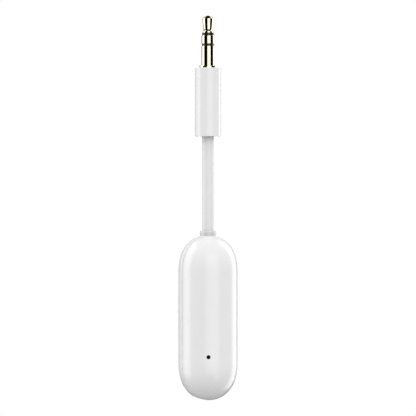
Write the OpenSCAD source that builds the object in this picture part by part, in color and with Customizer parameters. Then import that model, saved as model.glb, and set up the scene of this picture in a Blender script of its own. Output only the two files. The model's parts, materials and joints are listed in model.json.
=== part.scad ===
// Bluetooth audio receiver: a white capsule with a short cable and a 3.5 mm audio plug.
// The part hangs from its plug. +Z points out of the plug's tip, -Y out of the front cover.
// The origin is on the plug's axis, at the upper face of the plug's collar. Millimetres.

/* [Plug] */
// Radius of the ring and sleeve contacts
contact_r = 1.75; // [1.72:0.01:1.78]
// Radius of the collar under the contacts
collar_r = 2.35; // [2.3:0.05:2.7]
// Thickness of that collar
collar_h = 0.55; // [0.4:0.05:0.8]
// Radius of the white grip
grip_r = 3.5; // [3.4:0.1:4]
// Wall of the white grip
grip_wall = 0.6; // [0.5:0.05:0.6]

/* [Cable] */
// Diameter of the cable
cable_d = 3.2; // [3:0.1:3.2]
// Diameter of one insulated wire inside it
wire_d = 0.7; // [0.5:0.05:0.75]

/* [Body] */
// Diameter of the capsule
body_d = 15.8; // [15.6:0.1:16.4]
// Length of each rounded end
end_len = 11; // [10:0.5:12]
// Shape of the rounded ends: 2 is an ellipse, and more has fuller shoulders
end_power = 2.65; // [2.4:0.05:3]
// Wall of the two shells
wall = 1.1; // [1:0.05:1.2]
// Where the flat joint between the cover and the rear shell lies, along Y
seam_y = -2; // [-2.2:0.1:-1.9]
// Gap left along that joint
seam_gap = 0.12; // [0.06:0.02:0.14]
// Radius of the microphone hole
mic_hole_r = 0.5; // [0.45:0.05:0.6]

/* [Button] */
// Length of the button, along Z
button_len = 8; // [7:0.5:8.5]
// Width of the button, along Y
button_w = 3; // [2.6:0.1:3]
// How far the button stands proud of the rear shell
button_proud = 0.15; // [0.1:0.05:0.2]

/* [Battery] */
// Width of the cell
cell_w = 9; // [8:0.5:9]
// Thickness of the cell
cell_t = 4; // [3:0.2:4]

/* [Hidden] */
$fn = 64;
eps = 0.01;
fit = 0.02;

// Plug contacts, along Z from the collar's upper face
tip_z = 13.4;
tip_widest_z = 12.5;
neck_z = 9.6;
disc_z = [8.8, 8.95];
disc_cone = 0.4;
ring_z = [5.9, 8.05];
sleeve_z = [0, 5.27];
tip_r = 1.47;
neck_r = 1.09;
disc_r = 1.47;
tip_insulator_r = 1.57;
ring_insulator_r = 1.58;
// The three coaxial conductors and their insulators inside the plug, from the axis out
pin_r = 0.4;
tip_tube_r = 0.79;
ring_tube_r = 1.12;
ring_insulator_tube_r = 1.44;
pin_end_z = -7;
pin_head_z = -6.2;
pin_head_r = 0.7;
tip_tube_end_z = -5.6;
ring_tube_end_z = -4.6;
ring_lug_r = 1.5;
ring_lug_t = 0.4;
ring_insulator_end_z = -3.6;
bushing_r = 2.2;
bushing_end_z = -3;
tail_w = 1.6;
tail_t = 0.4;
crimp_z = [-16.4, -14.6];
crimp_t = 0.4;
grip_z = [-18.85, -collar_h];
grip_floor = 1;

// Cable route, from inside the plug's grip down into the gland
cable_route = [
    [0, 0, -14], [0, 0, -16], [0, 0, -18], [0, 0, -20], [0, 0, -22], [0, 0, -24],
    [0, 0, -26], [0, 0, -28], [0, 0, -30], [0, 0, -32], [0, 0, -34], [0, 0, -36],
    [0, 0, -38], [0, 0, -40], [0, 0, -42], [0, 0, -44], [0, 0, -46]
];
cable_ring_step = 4;
cable_core_r = 1;
cable_r = cable_d / 2;
cable_sides = 8;

// Gland on the capsule's top
gland_top_z = -44;
gland_seat_z = -45.2;
gland_r = 2.15;
gland_neck_r = 1.7;
gland_flange_r = 2.8;
gland_flange_z = [-47.9, -46.9];
gland_pad_r = 3.3;

// Capsule
body_r = body_d / 2;
body_top = -44.9;
body_bottom = -89.2;
end_wall = 1.3;
outline_step = 6;
cavity_r = body_r - wall;
skin = 0.4;
big = 60;

// Tongues of the front cover, in rebates of the rear shell
tongue_r = [cavity_r, cavity_r + 0.45];
tongue_y = seam_y + 0.8;
tongue_z = [-78, -56];
snap_r = 0.25;
snap_len = 3;
snap_z = [-74, -60];

// Circuit board
board_y = [0, 0.8];
board_half_w = 5.5;
board_top = -49.5;
board_bottom = -84.5;
board_top_half_w = 4.4;
board_foot_half_w = 4.9;
board_notch = [7.6, -82.3];
rib_t = 1.2;
ledge_z = [-78, -68, -55.4];
post_x = [4.8, cavity_r - 0.4];
post_foot_y = -4.5;
ledge_x = [4.9, cavity_r + 0.4];
ledge_y = 3;

// Battery, in front of the board
tape_t = 0.3;
tape_size = [7, 14];
cell_z = [-74.2, -54.2];
cell_y = [-tape_t - cell_t, -tape_t];
cell_mid_z = (cell_z[0] + cell_z[1]) / 2;
cell_edge_r = 0.8;
guard_size = [8, 3, 0.8];
foam_t = 0.6;
foam_size = [6, 8];
cover_rib_dz = 3;

// Microphone, behind its hole in the front cover
mic_x = -1.86;
mic_z = -77.3;
mic_seat_y = -5.15;
mic_boss_r = 3;
mic_boss_len = 1.8;
boot_r = 2.5;
boot_len = 2.1;
mic_r = 2;
mic_len = 1.5;
mic_y = mic_seat_y + boot_len - mic_len - 0.1;
mesh_r = 1.1;
mesh_t = 0.1;
snout_end_y = -7.2;
sound_hole_r = 0.28;
mic_lead_d = 0.4;
mic_lead_dx = 0.8;

// Side button and its switch, on the back of the board
button_z = -61.5;
button_y = 1.6;
button_gap = 0.1;
button_flange_r = [cavity_r - 0.75, cavity_r - 0.1];
button_flange_edge = 0.6;
button_stem_x = [5.35, 6.2];
button_stem_size = [1.2, 2];
switch_size = [2.6, 1.6, 4];
switch_x = 2.3;
switch_mouth_x = 4.5;
plunger_x = [4.1, button_stem_x[0]];
plunger_size = [0.9, 1.8];
plunger_shoulder = [0.35, 2.4];
chamber_x = 3.3;
chamber_size = [1, 2.6];
leaf_t = 0.08;
leaf_rise = 0.45;
leaf_half_len = 1.1;
leaf_w = 0.8;

// Charging socket, on the capsule's lower end
usb_size = [7.5, 2.5];
usb_corner = [0.8, 0.9];
usb_sheet = 0.25;
usb_z = [-87.9, -82.6];
usb_block_z = -84;
usb_tongue = [3.5, 0.6];
usb_tongue_z = -87.3;
usb_contact = [0.35, 0.08];
usb_contact_pitch = 0.65;
usb_contact_z = [-87.1, -81.1];
usb_slot_gap = 0.15;
usb_tab = [0.9, 0.15, 1.5];

// Status light
led_z = -79.8;
led_size = [1.6, 0.7, 0.8];
pipe_r = 0.75;
pipe_foot_y = 1.6;
pipe_flange = [1.2, 6, 6.6];

// ---- Shared shapes ----

// Outline of a rounded end: (radius / r)^2 + (height / len)^end_power = 1
function end_outline(r, len) =
    [for (t = [0 : outline_step : 90]) [r * cos(t), len * pow(sin(t), 2 / end_power)]];

function reversed(list) = [for (i = [len(list) - 1 : -1 : 0]) list[i]];

// Solid capsule between two poles on the Z axis
module capsule(r, len, bottom, top) {
    up = end_outline(r, len);
    upper = [for (p = up) [p[0], top - len + p[1]]];
    lower = [for (p = up) [p[0], bottom + len - p[1]]];
    rotate_extrude() polygon(concat(upper, reversed(lower)));
}

// The capsule's outer form, drawn in by inset
module body_form(inset = 0) {
    capsule(body_r - inset, end_len - inset, body_bottom + inset, body_top - inset);
}

module cavity() {
    capsule(cavity_r, end_len - wall + 0.5, body_bottom + end_wall, body_top - end_wall);
}

module front_space() {
    translate([-big / 2, -big, body_bottom - 1])
        cube([big, big + seam_y - seam_gap / 2, big]);
}

module rear_space() {
    translate([-big / 2, seam_y + seam_gap / 2, body_bottom - 1])
        cube([big, big, big]);
}

// Box between two corners
module box(low, high) {
    translate(low) cube(high - low);
}

// Upright cylinder between two heights
module post(r, z, hole = 0) {
    translate([0, 0, z[0]]) difference() {
        cylinder(r = r, h = z[1] - z[0]);
        if (hole > 0)
            translate([0, 0, -eps]) cylinder(r = hole, h = z[1] - z[0] + 2 * eps);
    }
}

// Cylinder along +Y from point p
module pin_y(p, r, h) {
    translate(p) rotate([-90, 0, 0]) cylinder(r = r, h = h);
}

// Straight-sided slot form along +X from point p, its length along Z
module stadium_x(p, width, length, depth) {
    straight = length - width;
    translate(p) rotate([0, 90, 0]) linear_extrude(depth) {
        square([straight, width], center = true);
        for (side = [-1, 1]) translate([side * straight / 2, 0]) circle(d = width);
    }
}

// Direction of travel at point i of a route
function travel(route, i) =
    let (a = route[max(i - 1, 0)], b = route[min(i + 1, len(route) - 1)])
    (b - a) / norm(b - a);

// Tube of n sides swept along a route, as one polyhedron
module tube(route, r, n) {
    rings = [for (i = [0 : len(route) - 1])
        let (t = travel(route, i), u0 = cross(t, [0, 1, 0]), u = u0 / norm(u0), v = cross(t, u))
        for (k = [0 : n - 1]) route[i] + r * (cos(360 * k / n) * u + sin(360 * k / n) * v)];
    last = len(route) - 1;
    sides = [for (i = [0 : last - 1], k = [0 : n - 1])
        let (a = i * n + k, b = i * n + (k + 1) % n)
        [b, a, a + n, b + n]];
    near_end = [for (k = [0 : n - 1]) k];
    far_end = [for (k = [0 : n - 1]) last * n + n - 1 - k];
    polyhedron(rings, concat([near_end], sides, [far_end]));
}

// ---- Plug ----

module jack_tip() color("gold") {
    rotate_extrude() polygon([
        [0, tip_z], [0.24 * tip_r, tip_z - 0.05], [0.54 * tip_r, tip_z - 0.28],
        [0.82 * tip_r, tip_z - 0.58], [tip_r, tip_widest_z], [neck_r + 0.04, neck_z + 0.1],
        [neck_r, neck_z], [neck_r, disc_z[1] + disc_cone], [disc_r, disc_z[1]],
        [disc_r, disc_z[0]], [pin_r, disc_z[0]], [pin_r, pin_head_z], [pin_head_r, pin_head_z],
        [pin_head_r, pin_end_z], [0, pin_end_z]
    ]);
}

module tip_insulator() color("black") {
    post(tip_insulator_r, [ring_z[1], disc_z[0]], pin_r + fit);
    post(tip_tube_r, [tip_tube_end_z, ring_z[1]], pin_r + fit);
}

module jack_ring() color("gold") {
    post(contact_r, ring_z, tip_tube_r + fit);
    post(ring_tube_r, [ring_tube_end_z, ring_z[0]], tip_tube_r + fit);
    post(ring_lug_r, [ring_tube_end_z, ring_tube_end_z + ring_lug_t], tip_tube_r + fit);
}

module ring_insulator() color("black") {
    post(ring_insulator_r, [sleeve_z[1], ring_z[0]], ring_tube_r + fit);
    post(ring_insulator_tube_r, [ring_insulator_end_z, sleeve_z[1]], ring_tube_r + fit);
}

module jack_sleeve() color("gold") {
    bore = ring_insulator_tube_r + fit;
    post(contact_r, sleeve_z, bore);
    post(collar_r, [-collar_h, 0], bore);
    post(bushing_r, [bushing_end_z, -collar_h], bore);
    tail_y = cable_r + 0.05;
    box([-tail_w / 2, tail_y, crimp_z[1]], [tail_w / 2, tail_y + tail_t, bushing_end_z]);
    post(tail_y + crimp_t, crimp_z, tail_y);
}

module plug_inner_sleeve() color("white")
    post(grip_r - grip_wall - fit, [grip_z[0] + grip_floor + 0.05, grip_z[1]], bushing_r + 0.05);

module plug_grip() color("white") difference() {
    post(grip_r, grip_z);
    post(grip_r - grip_wall, [grip_z[0] + grip_floor, grip_z[1] + eps]);
    post(cable_r + fit, [grip_z[0] - eps, grip_z[1]]);
}

// ---- Cable ----

module cable_jacket() color("white") difference() {
    rings = [for (i = [0 : cable_ring_step : len(cable_route) - 1]) cable_route[i]];
    over = [0, 0, eps];
    first = rings[0] + over;
    last = rings[len(rings) - 1] - over;
    tube(rings, cable_r, cable_sides);
    tube([first, last], cable_core_r, cable_sides);
}

// One insulated wire: from its soldering point in the plug, down the cable, to its pad
module wire(from_plug, at, pad_x) {
    tube(concat(from_plug, [
        [at[0], at[1], -13.5], [at[0], at[1], -47.4],
        [pad_x, -wire_d / 2 - fit, -50], [pad_x, -wire_d / 2 - fit, -51.2]
    ]), wire_d / 2, cable_sides);
}

module left_wire() color("green")
    wire([[0, 0, pin_end_z - fit], [0, 0, -8.5]], [-0.43, -0.25], -2.4);

module right_wire() color("red")
    wire([[1.25, 0, ring_tube_end_z - fit], [1.25, 0, -9]], [0.43, -0.25], 2.4);

module ground_wire() color("peru")
    wire([[0, cable_r + 0.05 - wire_d / 2 - fit, -7.5], [0, cable_r - wire_d / 2, -10]],
        [0, 0.5], 0);

module cable_gland() color("white") difference() {
    union() {
        post(gland_r, [gland_seat_z, gland_top_z]);
        post(gland_neck_r, [gland_flange_z[1], gland_seat_z]);
        post(gland_flange_r, gland_flange_z);
    }
    post(cable_r + fit, [gland_flange_z[0] - eps, gland_top_z + eps]);
}

// ---- Casing ----

module mic_boss() {
    intersection() {
        pin_y([mic_x, -body_r, mic_z], mic_boss_r, body_r + mic_seat_y + mic_boss_len);
        body_form(skin);
    }
}

module gland_pad() {
    intersection() {
        post(gland_pad_r, [gland_flange_z[1], body_top]);
        body_form(skin);
    }
}

// Long rail on each side of the joint, grown by gap on every face
module tongues(gap = 0) {
    low_y = seam_y - seam_gap / 2;
    intersection() {
        post(tongue_r[1] + gap, [tongue_z[0] - gap, tongue_z[1] + gap],
            tongue_r[0] - (gap > 0 ? 0.1 : 0));
        box([-body_r, low_y - 0.3, body_bottom], [body_r, tongue_y + gap, body_top]);
    }
    for (side = [-1, 1], z = snap_z)
        translate([side * (tongue_r[1] - 0.05), (seam_y + tongue_y) / 2, z - snap_len / 2])
            cylinder(r = snap_r + gap, h = snap_len + gap, $fn = 24);
}

module cover_posts() {
    intersection() {
        for (side = [-1, 1], z = ledge_z) {
            x = side > 0 ? post_x : [-post_x[1], -post_x[0]];
            box([x[0], post_foot_y, z - rib_t / 2], [x[1], board_y[0] - fit, z + rib_t / 2]);
        }
        body_form(skin);
    }
}

module battery_ribs() {
    top_y = cell_y[0] - foam_t;
    for (dz = [-cover_rib_dz, cover_rib_dz])
        box([-foam_size[0] / 2, -cavity_r - 0.2, cell_mid_z + dz - rib_t / 2],
            [foam_size[0] / 2, top_y, cell_mid_z + dz + rib_t / 2]);
}

module front_cover() color("white") difference() {
    union() {
        difference() {
            intersection() {
                body_form();
                front_space();
            }
            cavity();
        }
        tongues();
        cover_posts();
        battery_ribs();
        mic_boss();
        intersection() {
            gland_pad();
            front_space();
        }
    }
    pin_y([mic_x, -body_r - 1, mic_z], mic_hole_r, body_r);
    pin_y([mic_x, mic_seat_y, mic_z], boot_r + fit, mic_boss_len + eps);
    post(gland_r + 0.05, [gland_seat_z, body_top + 1]);
}

module button_slot() {
    stadium_x([cavity_r - 2, button_y, button_z],
        button_w + 2 * button_gap, button_len + 2 * button_gap, 4);
}

module ledges() {
    for (side = [-1, 1], z = ledge_z) {
        x = side > 0 ? ledge_x : [-ledge_x[1], -ledge_x[0]];
        box([x[0], board_y[1] + fit, z - rib_t / 2], [x[1], ledge_y, z + rib_t / 2]);
    }
}

module rear_shell() color("white") difference() {
    union() {
        difference() {
            intersection() {
                body_form();
                rear_space();
            }
            cavity();
        }
        ledges();
        intersection() {
            gland_pad();
            rear_space();
        }
    }
    tongues(0.05);
    button_slot();
    usb_outline_solid(-usb_slot_gap, [body_bottom - 1, usb_block_z - 1]);
    pin_y([0, pipe_foot_y, led_z], pipe_r + 0.05, body_r);
    post(gland_neck_r + 0.05, [gland_flange_z[1] - eps, body_top + 1]);
    post(gland_r + 0.05, [gland_seat_z, body_top + 1]);
}

// ---- Circuit board and what is soldered to it ----

module circuit_board() color("darkgreen")
    translate([0, board_y[1], 0]) rotate([90, 0, 0])
        linear_extrude(board_y[1] - board_y[0]) difference() {
            half = [
                [board_top_half_w, board_top], [board_half_w, board_top - 3],
                [board_half_w, board_bottom + 3], [board_foot_half_w, board_bottom]
            ];
            polygon(concat(half, reversed([for (p = half) [-p[0], p[1]]])));
            translate([-board_notch[0] / 2, board_bottom - 1])
                square([board_notch[0], board_notch[1] - board_bottom + 1]);
        }

// Block on the back of the board, centred at x, z
module on_board(at, size) {
    translate([at[0] - size[0] / 2, board_y[1], at[1] - size[2] / 2]) cube(size);
}

module bluetooth_chip() color("dimgray") on_board([-0.6, -66.5], [5, 0.85, 5]);
module flash_chip() color("dimgray") on_board([-2.6, -72.5], [3, 0.75, 2]);
module charger_chip() color("dimgray") on_board([3, -76.6], [1.6, 1.1, 2.9]);
module crystal() color("silver") on_board([-3.2, -60], [2, 0.7, 2.5]);
module power_inductor() color("gray") on_board([3.2, -71.4], [3, 1.4, 3]);
module chip_antenna() color("ivory") on_board([0, -51], [3.2, 1.2, 1.6]);

module audio_capacitors() color("goldenrod")
    for (x = [-2.4, 2.4]) on_board([x, -55.2], [1.6, 1.6, 3.2]);

module ceramic_capacitors() color("tan") {
    for (i = [0 : 3]) on_board([-4.2, -63.6 - 1.7 * i], [0.5, 0.5, 1]);
    for (i = [0 : 2]) on_board([3.2, -64.8 - 1.5 * i], [0.5, 0.5, 1]);
    for (i = [0 : 1]) on_board([0.8, -74.2 - 1.6 * i], [0.5, 0.5, 1]);
}

module chip_resistors() color("black") {
    for (i = [0 : 3]) on_board([-4 + 1.1 * i, -76.4], [0.5, 0.35, 1]);
    for (i = [0 : 2]) on_board([-1 + 1.1 * i, -59], [0.5, 0.35, 1]);
}

// ---- Battery ----

module battery_cell() color("silver") {
    straight = [cell_w - 2 * cell_edge_r, cell_t - 2 * cell_edge_r];
    translate([0, (cell_y[0] + cell_y[1]) / 2, cell_z[0]])
        linear_extrude(cell_z[1] - cell_z[0]) {
            square([cell_w, straight[1]], center = true);
            square([straight[0], cell_t], center = true);
            for (sx = [-1, 1], sy = [-1, 1])
                translate([sx * straight[0] / 2, sy * straight[1] / 2])
                    circle(r = cell_edge_r);
        }
}

module battery_tape() color("white")
    box([-tape_size[0] / 2, -tape_t, cell_mid_z - tape_size[1] / 2],
        [tape_size[0] / 2, 0, cell_mid_z + tape_size[1] / 2]);

module battery_foam() color("dimgray")
    box([-foam_size[0] / 2, cell_y[0] - foam_t, cell_mid_z - foam_size[1] / 2],
        [foam_size[0] / 2, cell_y[0], cell_mid_z + foam_size[1] / 2]);

module battery_guard_board() color("darkgreen")
    translate([-guard_size[0] / 2, cell_y[0] + 0.5, cell_z[1]]) cube(guard_size);

// Wire from the guard board on the cell's end to its pad on the main board
module battery_wire(side) {
    r = 0.3;
    foot = cell_z[1] + guard_size[2] + fit;
    tube([[side * 3.3, -1.6, foot], [side * 3.3, -1.6, foot + 0.6],
        [side * 3.6, -r - fit, foot + 1.3], [side * 3.6, -r - fit, foot + 2]], r, 8);
}

module battery_plus_wire() color("red") battery_wire(-1);
module battery_minus_wire() color("black") battery_wire(1);

// ---- Microphone ----

// Rubber cup around the capsule, with a snout that fills the hole in the cover
module microphone_boot() color("black") difference() {
    union() {
        pin_y([mic_x, mic_seat_y, mic_z], boot_r, boot_len);
        pin_y([mic_x, snout_end_y, mic_z], mic_hole_r - fit, mic_seat_y - snout_end_y + eps);
    }
    pin_y([mic_x, snout_end_y - eps, mic_z], sound_hole_r, mic_y - snout_end_y);
    pin_y([mic_x, mic_y - mesh_t, mic_z], mesh_r + fit, mesh_t + eps);
    pin_y([mic_x, mic_y, mic_z], mic_r + fit, boot_len);
}

module microphone_mesh() color("gray")
    pin_y([mic_x, mic_y - mesh_t, mic_z], mesh_r, mesh_t);

module microphone_capsule() color("silver")
    pin_y([mic_x, mic_y, mic_z], mic_r, mic_len);

module microphone_leads() color("silver") {
    y = mic_y + mic_len;
    for (dx = [-mic_lead_dx, mic_lead_dx])
        pin_y([mic_x + dx, y, mic_z], mic_lead_d / 2, board_y[0] - y);
}

// ---- Side button and its switch ----

module side_button() color("white") {
    low_y = button_y - button_w / 2 - button_flange_edge;
    high_y = button_y + button_w / 2 + button_flange_edge;
    half_len = button_len / 2 + button_flange_edge;
    span = [button_z - half_len, button_z + half_len];
    intersection() {
        post(body_r + button_proud, span, button_flange_r[0]);
        stadium_x([0, button_y, button_z], button_w, button_len, big);
    }
    intersection() {
        post(button_flange_r[1], span, button_flange_r[0]);
        box([0, low_y, span[0]], [big, high_y, span[1]]);
    }
    box([button_stem_x[0], button_y - button_stem_size[0] / 2, button_z - button_stem_size[1] / 2],
        [button_stem_x[1], button_y + button_stem_size[0] / 2, button_z + button_stem_size[1] / 2]);
}

// Block centred on the switch's axis between two places along X
module switch_block(x, size) {
    box([x[0], button_y - size[0] / 2, button_z - size[1] / 2],
        [x[1], button_y + size[0] / 2, button_z + size[1] / 2]);
}

module switch_case() color("black") difference() {
    translate([switch_x, board_y[1], button_z - switch_size[2] / 2]) cube(switch_size);
    switch_block([chamber_x, switch_mouth_x], chamber_size);
    switch_block([switch_mouth_x - eps, switch_x + switch_size[0] + 1], plunger_size + [0.1, 0.1]);
}

module switch_plunger() color("gray") {
    switch_block(plunger_x, plunger_size);
    switch_block([plunger_x[0], plunger_x[0] + plunger_shoulder[0]],
        [plunger_size[0], plunger_shoulder[1]]);
}

// Bowed steel leaf in the switch's chamber
module switch_leaf_spring() color("silver") {
    r = (leaf_half_len * leaf_half_len + leaf_rise * leaf_rise) / (2 * leaf_rise);
    apex_x = chamber_x + leaf_rise + 0.05;
    translate([0, button_y + leaf_w / 2, 0]) rotate([90, 0, 0]) linear_extrude(leaf_w)
        intersection() {
            translate([apex_x - r, button_z]) difference() {
                circle(r = r);
                circle(r = r - leaf_t);
            }
            translate([chamber_x + 0.02, button_z - leaf_half_len])
                square([1, 2 * leaf_half_len]);
        }
}

module switch_terminals() color("silver")
    for (x = [switch_x + 0.2, switch_x + 1.7], side = [-1, 1])
        translate([x, board_y[1], button_z + side * (switch_size[2] / 2 + 0.25) - 0.25])
            cube([0.7, 0.15, 0.5]);

// ---- Charging socket ----

module usb_outline(inset) {
    w = usb_size[0] / 2 - inset;
    h = usb_size[1] / 2 - inset;
    cx = usb_corner[0];
    cy = usb_corner[1];
    polygon([[-w, h], [w, h], [w, -h + cy], [w - cx, -h], [cx - w, -h], [-w, -h + cy]]);
}

module usb_outline_solid(inset, z) {
    translate([0, 0, z[0]]) linear_extrude(z[1] - z[0]) usb_outline(inset);
}

module usb_shell() color("silver") {
    difference() {
        usb_outline_solid(0, usb_z);
        usb_outline_solid(usb_sheet, [usb_z[0] - 1, usb_z[1] + 1]);
    }
    for (side = [-1, 1])
        translate([side * (usb_size[0] + usb_tab[0]) / 2 - usb_tab[0] / 2, -usb_tab[1], usb_block_z])
            cube(usb_tab);
}

module usb_contacts() color("gold")
    for (i = [-2 : 2])
        translate([i * usb_contact_pitch - usb_contact[0] / 2, -usb_contact[1], usb_contact_z[0]])
            cube([usb_contact[0], usb_contact[1], usb_contact_z[1] - usb_contact_z[0]]);

module usb_insulator() color("black") difference() {
    union() {
        usb_outline_solid(usb_sheet, [usb_block_z, usb_z[1]]);
        box([-usb_tongue[0] / 2, 0, usb_tongue_z], [usb_tongue[0] / 2, usb_tongue[1], usb_block_z]);
    }
    usb_contacts();
}

// ---- Status light ----

module status_led() color("ivory") on_board([0, led_z], led_size);

module light_pipe() color("ghostwhite") {
    intersection() {
        pin_y([0, pipe_foot_y, led_z], pipe_r, body_r);
        body_form();
    }
    pin_y([0, pipe_flange[1], led_z], pipe_flange[0], pipe_flange[2] - pipe_flange[1]);
}

jack_tip();
tip_insulator();
jack_ring();
ring_insulator();
jack_sleeve();
plug_inner_sleeve();
plug_grip();
cable_jacket();
left_wire();
right_wire();
ground_wire();
cable_gland();
front_cover();
rear_shell();
circuit_board();
bluetooth_chip();
flash_chip();
charger_chip();
crystal();
power_inductor();
chip_antenna();
audio_capacitors();
ceramic_capacitors();
chip_resistors();
battery_cell();
battery_tape();
battery_foam();
battery_guard_board();
battery_plus_wire();
battery_minus_wire();
microphone_capsule();
microphone_boot();
microphone_mesh();
microphone_leads();
side_button();
switch_case();
switch_plunger();
switch_leaf_spring();
switch_terminals();
usb_shell();
usb_insulator();
usb_contacts();
status_led();
light_pipe();
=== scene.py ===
import json
import math

import bmesh
import bpy
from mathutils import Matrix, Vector


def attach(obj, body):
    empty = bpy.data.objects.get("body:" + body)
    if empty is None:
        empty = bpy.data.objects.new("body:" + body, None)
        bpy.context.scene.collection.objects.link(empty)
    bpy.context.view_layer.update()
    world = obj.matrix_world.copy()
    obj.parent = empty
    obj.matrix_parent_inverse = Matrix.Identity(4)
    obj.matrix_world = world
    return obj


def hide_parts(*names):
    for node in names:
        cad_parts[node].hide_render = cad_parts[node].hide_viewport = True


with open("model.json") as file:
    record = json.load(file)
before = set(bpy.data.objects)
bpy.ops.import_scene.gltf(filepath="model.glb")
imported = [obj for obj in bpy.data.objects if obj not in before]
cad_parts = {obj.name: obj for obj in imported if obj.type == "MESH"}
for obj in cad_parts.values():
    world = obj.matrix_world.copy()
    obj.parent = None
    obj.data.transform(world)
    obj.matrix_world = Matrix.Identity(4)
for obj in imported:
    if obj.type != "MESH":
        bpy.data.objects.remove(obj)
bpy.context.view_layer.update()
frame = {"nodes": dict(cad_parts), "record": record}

nodes = frame["nodes"]
MM = 0.001
SHARP_ANGLE = 32

# ---- Measures in millimetres ----

# Most are those of part.scad. The plug's tip and neck, the gland's top, the microphone hole and
# its snout, and BODY_R differ from it a little.

CONTACT_R = 1.75
COLLAR_R = 2.35
COLLAR_H = 0.55
GRIP_R = 3.5
GRIP_WALL = 0.6
GRIP_FLOOR = 1.0
GRIP_Z = (-18.85, -0.55)
TIP_Z = 13.4
TIP_FLAT = (0.42, TIP_Z - 0.02)
TIP_SHOULDER = (1.05, TIP_Z - 0.32)
TIP_WIDEST = (1.52, 12.58)
TIP_LOWEST = (1.26, 9.68)
NECK = (1.12, 9.42)
NECK_FLARE = (1.26, 9.22)
NECK_FOOT = (1.41, 9.13)
DISC_R = 1.47
DISC_Z = 8.8
PIN_R = 0.4
PIN_LUG_R = 0.7
PIN_LUG_Z = (-7, -6.2)
TIP_TUBE_R = 0.79
TIP_TUBE_END = -5.6
TIP_WASHER_R = 1.57
RING_Z = (5.9, 8.05)
RING_LUG_R = 1.5
RING_LUG_Z = (-4.6, -4.2)
RING_TUBE_R = 1.12
RING_WASHER_R = (1.44, 1.62)
RING_WASHER_END = -3.6
SLEEVE_TOP = 5.27
SLEEVE_BORE = 1.46
BUSHING_R = 2.2
BUSHING_END = -3
TAIL_HALF_WIDTH = 0.8
TAIL_R = (1.65, 2.05)
TAIL_Z = (-14.6, -2.9)
CRIMP_END = -16.4
PLAY = 0.02
CABLE_R = 1.6
CABLE_ROUTE = [
    (0, 0, -14), (0, 0, -16), (0, 0, -18), (0, 0, -20), (0, 0, -22), (0, 0, -24),
    (0, 0, -26), (0, 0, -28), (0, 0, -30), (0, 0, -32), (0, 0, -34), (0, 0, -36),
    (0, 0, -38), (0, 0, -40), (0, 0, -42), (0, 0, -44), (0, 0, -46),
]
GLAND_TOP = -44.0
GLAND_SEAT = -45.2
GLAND_R = 2.15
GLAND_NECK_R = 1.7
GLAND_FLANGE_R = 2.8
GLAND_FLANGE_Z = (-47.9, -46.9)
GLAND_LIFT = 0.12
GLAND_OVERLAP = 0.04
GLAND_SQUEEZE = 0.05
GLAND_CUT_Z = (-48, -40)
GLAND_CUT_GAP = 0.05
BODY_R = 7.895
BODY_TOP = -44.9
BODY_BOTTOM = -89.2
END_LEN = 11.0
END_POWER = 2.65
WALL = 1.1
END_WALL = 1.3
SEAM_FRONT = -2.06
SEAM_REAR = -1.94
OPENING_DEPTH = 2.5
OPENING_RISE = 1.5
MIC_X = -1.82
MIC_Z = -77.3
MIC_HOLE_R = 0.54
MIC_LIP = 0.03
BUTTON_Y = 1.6
BUTTON_Z = -61.5
BUTTON_LEN = 8.0
BUTTON_W = 3.0
BUTTON_GAP = 0.1
BUTTON_LIP = 0.12
BUTTON_PROUD = 0.15
BUTTON_EDGE = 0.22
BUTTON_SEAT = 6.25
BUTTON_FLANGE = ((6.1, -2.1, -4.6), (6.6, 0.9, 4.6))
BUTTON_STEM = ((5.35, -0.6, -1), (6.3, 0.6, 1))
USB_SIZE = (7.5, 2.5)
USB_CORNER = (0.8, 0.9)
USB_SHEET = 0.25
USB_Z = (-87.9, -82.6)
USB_OPENING_DEPTH = 4
USB_OPENING_GAP = 0.15
USB_OPENING_CORNER = 0.3
USB_LIP = 0.16
USB_TAB_X = (3.7, 4.65)
USB_TAB_Y = (-0.15, 0)
USB_TAB_Z = (-84, -82.5)
LED_Z = -79.8
PIPE_R = 0.75
PIPE_GAP = 0.04
PIPE_LIP = 0.08
PIPE_FOOT = 1.6
PIPE_FLANGE_R = 1.2
PIPE_FLANGE_Y = (6.0, 6.6)
SNOUT_R = 0.53
SNOUT_END = 7.6
SOUND_HOLE_R = 0.28
BOOT_R = 2.5
BOOT_Y = (-5.15, -3.05)
MESH_POCKET = (1.16, -4.75)
CAPSULE_POCKET = (2.07, -4.65)

# ---- Camera, at the photograph's angle ----

PHOTO_AZIMUTH = math.radians(-14.5)
TOWARDS_CAMERA = Vector((math.sin(PHOTO_AZIMUTH), -math.cos(PHOTO_AZIMUTH), 0))
TO_ITS_RIGHT = Vector((math.cos(PHOTO_AZIMUTH), math.sin(PHOTO_AZIMUTH), 0))
AIM = Vector((0, 0, -0.0379))
DISTANCE = 0.8
VIEW_WIDTH = 0.1109

camera = bpy.data.objects.new("camera", bpy.data.cameras.new("camera"))
bpy.context.scene.collection.objects.link(camera)
camera.data.sensor_width = 36
camera.data.lens = camera.data.sensor_width * DISTANCE / VIEW_WIDTH
camera.location = AIM + TOWARDS_CAMERA * DISTANCE
camera.rotation_mode = "QUATERNION"
camera.rotation_quaternion = (-TOWARDS_CAMERA).to_track_quat("-Z", "Y")
bpy.context.scene.camera = camera

# ---- Cord ----


def make_cable():
    curve = bpy.data.curves.new("cable", "CURVE")
    curve.dimensions = "3D"
    spline = curve.splines.new("POLY")
    spline.points.add(len(CABLE_ROUTE) - 1)
    for point, place in zip(spline.points, CABLE_ROUTE):
        point.co = (*[c * MM for c in place], 1)
    curve.bevel_depth = CABLE_R * MM
    curve.bevel_resolution = 14
    curve.use_fill_caps = True
    return link_object("cable", curve)


# ---- Node helpers ----


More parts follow.
